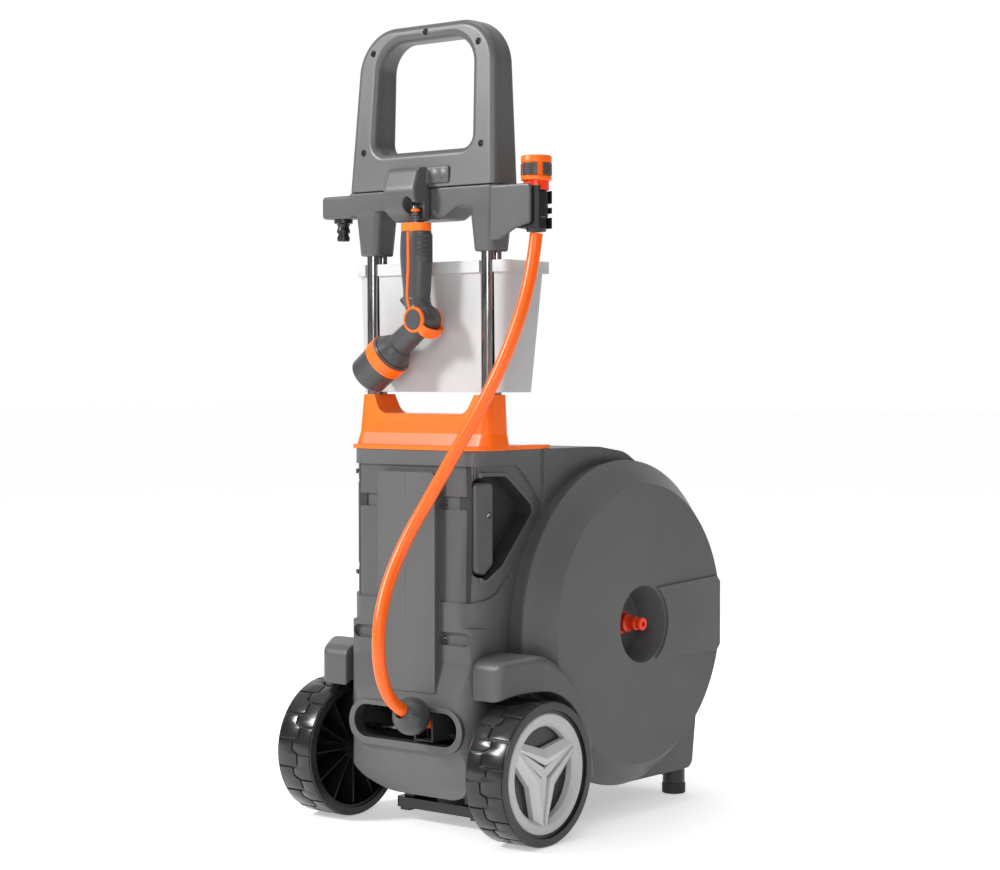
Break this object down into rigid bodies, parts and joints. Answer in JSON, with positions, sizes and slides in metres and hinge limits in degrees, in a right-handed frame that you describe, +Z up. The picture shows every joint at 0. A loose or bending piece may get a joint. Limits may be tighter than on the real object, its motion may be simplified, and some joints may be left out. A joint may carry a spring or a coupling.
{
  "type": "hose reel cart",
  "caption": "Upright hose reel cart on wheels with an enclosed self-winding reel, tubular pull handle, rear bin, parked spray gun and an orange hose.",
  "frame": {"origin": "centre of the footprint of the fixed parts on the floor", "axes": "+Z up, +X to the right seen from the hose slot, -Y out of the hose slot, wheel axle along X"},
  "size_m": [0.37, 0.6016, 1.004],
  "materials": {
    "body_grey": "satin, fine grain",
    "dark_plastic": "satin",
    "orange_plastic": "satin gloss",
    "bin_grey": "satin",
    "trim_grey": "satin",
    "tyre_black": "semi gloss",
    "hose_orange": "satin",
    "soft_black": "matte",
    "tube_chrome": "dark chrome",
    "steel": "plain",
    "brass": "machined",
    "inner_plastic": "matte",
    "connector_red": "gloss"
  },
  "bodies": {
    "chassis": {"left_shell": "body_grey", "right_shell": "body_grey", "left_drum_cover": "body_grey", "right_drum_cover": "body_grey", "left_fender": "body_grey", "right_fender": "body_grey", "left_grip_bar": "body_grey", "right_grip_bar": "body_grey", "slot_bezel": "dark_plastic", "bottom_plate": "dark_plastic", "rear_feet": "dark_plastic", "rubber_feet": "soft_black", "screws": "steel", "handle_base": "orange_plastic", "left_front_tube": "tube_chrome", "right_front_tube": "tube_chrome", "left_rear_tube": "tube_chrome", "right_rear_tube": "tube_chrome", "handle_front_shell": "body_grey", "handle_rear_shell": "body_grey", "handle_yoke": "body_grey", "gun_boss": "body_grey", "parking_nipple": "dark_plastic", "hose_clip": "dark_plastic", "supply_hose": "hose_orange", "ball_stopper": "body_grey", "connector_body": "dark_plastic", "connector_ring": "connector_red", "wheel_axle": "steel", "wheel_clips": "steel", "pawl_pin": "steel", "left_hub_cap": "dark_plastic", "inlet_nipple": "connector_red", "guide_rods": "steel"},
    "left_wheel": {"left_tyre": "tyre_black", "left_rim": "dark_plastic", "left_trim": "trim_grey"},
    "right_wheel": {"right_tyre": "tyre_black", "right_rim": "dark_plastic", "right_trim": "trim_grey"},
    "reel": {"water_shaft": "brass", "reel_core": "inner_plastic", "reel_left_flange": "inner_plastic", "reel_right_flange": "inner_plastic", "hose_pack": "hose_orange", "rewind_spring": "steel", "ratchet_ring": "inner_plastic"},
    "pawl": {"ratchet_pawl": "inner_plastic"},
    "hose_guide": {"guide_carriage": "inner_plastic", "guide_rollers": "inner_plastic"},
    "bin": {"tool_bin": "bin_grey"},
    "gun": {"gun_nipple": "dark_plastic", "gun_collar": "orange_plastic", "gun_handle": "dark_plastic", "gun_grip": "soft_black", "gun_barrel": "dark_plastic", "gun_pivot": "dark_plastic"},
    "gun_flow_lever": {"gun_lever": "orange_plastic"},
    "gun_spray_head": {"gun_head": "dark_plastic"},
    "sleeve": {"connector_sleeve": "orange_plastic"}
  },
  "joints": [
    {"name": "left_wheel_spin", "type": "hinge", "parent": "chassis", "child": "left_wheel", "pos_m": [-0.15, -0.179, 0.088], "axis": [1, 0, 0], "continuous": true},
    {"name": "right_wheel_spin", "type": "hinge", "parent": "chassis", "child": "right_wheel", "pos_m": [0.15, -0.179, 0.088], "axis": [1, 0, 0], "continuous": true},
    {"name": "reel_spin", "type": "hinge", "parent": "chassis", "child": "reel", "pos_m": [0, 0.056, 0.247], "axis": [1, 0, 0], "continuous": true},
    {"name": "pawl_tip", "type": "hinge", "parent": "chassis", "child": "pawl", "pos_m": [-0.1075, 0.102, 0.309], "axis": [1, 0, 0], "range_deg": [-15, 0]},
    {"name": "guide_slide", "type": "slide", "parent": "chassis", "child": "hose_guide", "axis": [1, 0, 0], "range_m": [-0.07, 0.03]},
    {"name": "bin_lift", "type": "slide", "parent": "chassis", "child": "bin", "axis": [0, 1, 0], "range_m": [0, 0.12]},
    {"name": "gun_swing", "type": "hinge", "parent": "chassis", "child": "gun", "pos_m": [0.007, -0.217, 0.772], "axis": [1, 0, 0], "range_deg": [-18, 0]},
    {"name": "flow_lever", "type": "hinge", "parent": "gun", "child": "gun_flow_lever", "pos_m": [0.019, -0.217, 0.636], "axis": [0, 1, 0], "range_deg": [-50, 0]},
    {"name": "spray_select", "type": "hinge", "parent": "gun", "child": "gun_spray_head", "pos_m": [0.02, -0.217, 0.634], "axis": [-0.809, 0, -0.5878], "continuous": true},
    {"name": "sleeve_slide", "type": "slide", "parent": "chassis", "child": "sleeve", "axis": [0, 0, -1], "range_m": [0, 0.004], "stiffness_N_per_m": 1500, "springref_m": -0.001}
  ]
}
